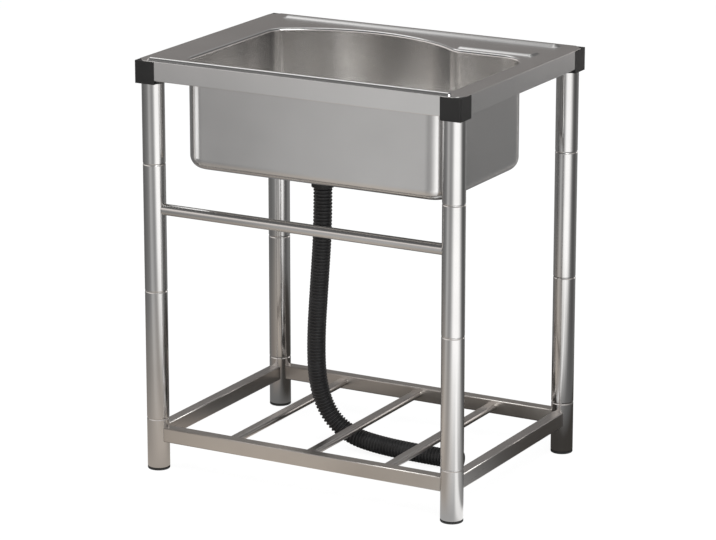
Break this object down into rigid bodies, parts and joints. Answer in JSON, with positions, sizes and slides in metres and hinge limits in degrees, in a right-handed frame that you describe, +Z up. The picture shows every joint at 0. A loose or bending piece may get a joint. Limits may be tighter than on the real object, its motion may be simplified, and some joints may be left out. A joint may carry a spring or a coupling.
{
  "type": "free-standing utility sink",
  "caption": "Free-standing stainless utility sink: pressed bowl on round jointed legs with black corner sockets, a towel rail, a slatted shelf and a ribbed drain hose.",
  "frame": {"origin": "on the floor, at the centre of the footprint", "axes": "+Z up, +X to the right along the front, the front with the towel rail faces -Y"},
  "size_m": [0.6016, 0.4516, 0.7115],
  "materials": {
    "pressed_steel": "satin brushed, pressed sheet",
    "tube_steel": "polished tube",
    "frame_steel": "satin rectangular tube",
    "bright_steel": "bright, turned or drawn",
    "black_plastic": "moulded, semi-matt",
    "hose_plastic": "corrugated, semi-matt",
    "black_rubber": "moulded"
  },
  "bodies": {
    "stand": {"sink_top": "pressed_steel", "corner_socket_front_left": "black_plastic", "foot_plug_front_left": "black_plastic", "leg_bottom_front_left": "tube_steel", "leg_lower_front_left": "tube_steel", "leg_middle_front_left": "tube_steel", "leg_upper_front_left": "tube_steel", "corner_socket_front_right": "black_plastic", "foot_plug_front_right": "black_plastic", "leg_bottom_front_right": "tube_steel", "leg_lower_front_right": "tube_steel", "leg_middle_front_right": "tube_steel", "leg_upper_front_right": "tube_steel", "corner_socket_back_left": "black_plastic", "foot_plug_back_left": "black_plastic", "leg_bottom_back_left": "tube_steel", "leg_lower_back_left": "tube_steel", "leg_middle_back_left": "tube_steel", "leg_upper_back_left": "tube_steel", "corner_socket_back_right": "black_plastic", "foot_plug_back_right": "black_plastic", "leg_bottom_back_right": "tube_steel", "leg_lower_back_right": "tube_steel", "leg_middle_back_right": "tube_steel", "leg_upper_back_right": "tube_steel", "leg_couplers_low": "tube_steel", "leg_couplers_mid": "tube_steel", "leg_couplers_high": "tube_steel", "towel_rail": "tube_steel", "shelf_rail_front": "frame_steel", "shelf_rail_back": "frame_steel", "shelf_rail_left": "frame_steel", "shelf_rail_right": "frame_steel", "shelf_slat_left": "frame_steel", "shelf_slat_middle": "frame_steel", "shelf_slat_right": "frame_steel", "drain_cup": "bright_steel", "drain_lock_nut": "black_plastic", "drain_outlet": "black_plastic", "hose_nut": "black_plastic", "hose_cuff": "black_plastic", "flange_gasket": "black_rubber", "under_gasket": "black_rubber", "hose_washer": "black_rubber", "drain_hose": "hose_plastic"},
    "strainer": {"strainer_basket": "bright_steel", "strainer_post": "bright_steel", "strainer_seal": "black_rubber"},
    "foot_front_left": {"foot_pad_front_left": "black_plastic", "foot_stem_front_left": "bright_steel"},
    "foot_front_right": {"foot_pad_front_right": "black_plastic", "foot_stem_front_right": "bright_steel"},
    "foot_back_left": {"foot_pad_back_left": "black_plastic", "foot_stem_back_left": "bright_steel"},
    "foot_back_right": {"foot_pad_back_right": "black_plastic", "foot_stem_back_right": "bright_steel"}
  },
  "joints": [
    {"name": "strainer_lift", "type": "slide", "parent": "stand", "child": "strainer", "axis": [0, 0, 1], "range_m": [0, 0.22]},
    {"name": "foot_front_left_extend", "type": "slide", "parent": "stand", "child": "foot_front_left", "axis": [0, 0, -1], "range_m": [0, 0.012]},
    {"name": "foot_front_right_extend", "type": "slide", "parent": "stand", "child": "foot_front_right", "axis": [0, 0, -1], "range_m": [0, 0.012]},
    {"name": "foot_back_left_extend", "type": "slide", "parent": "stand", "child": "foot_back_left", "axis": [0, 0, -1], "range_m": [0, 0.012]},
    {"name": "foot_back_right_extend", "type": "slide", "parent": "stand", "child": "foot_back_right", "axis": [0, 0, -1], "range_m": [0, 0.012]}
  ]
}
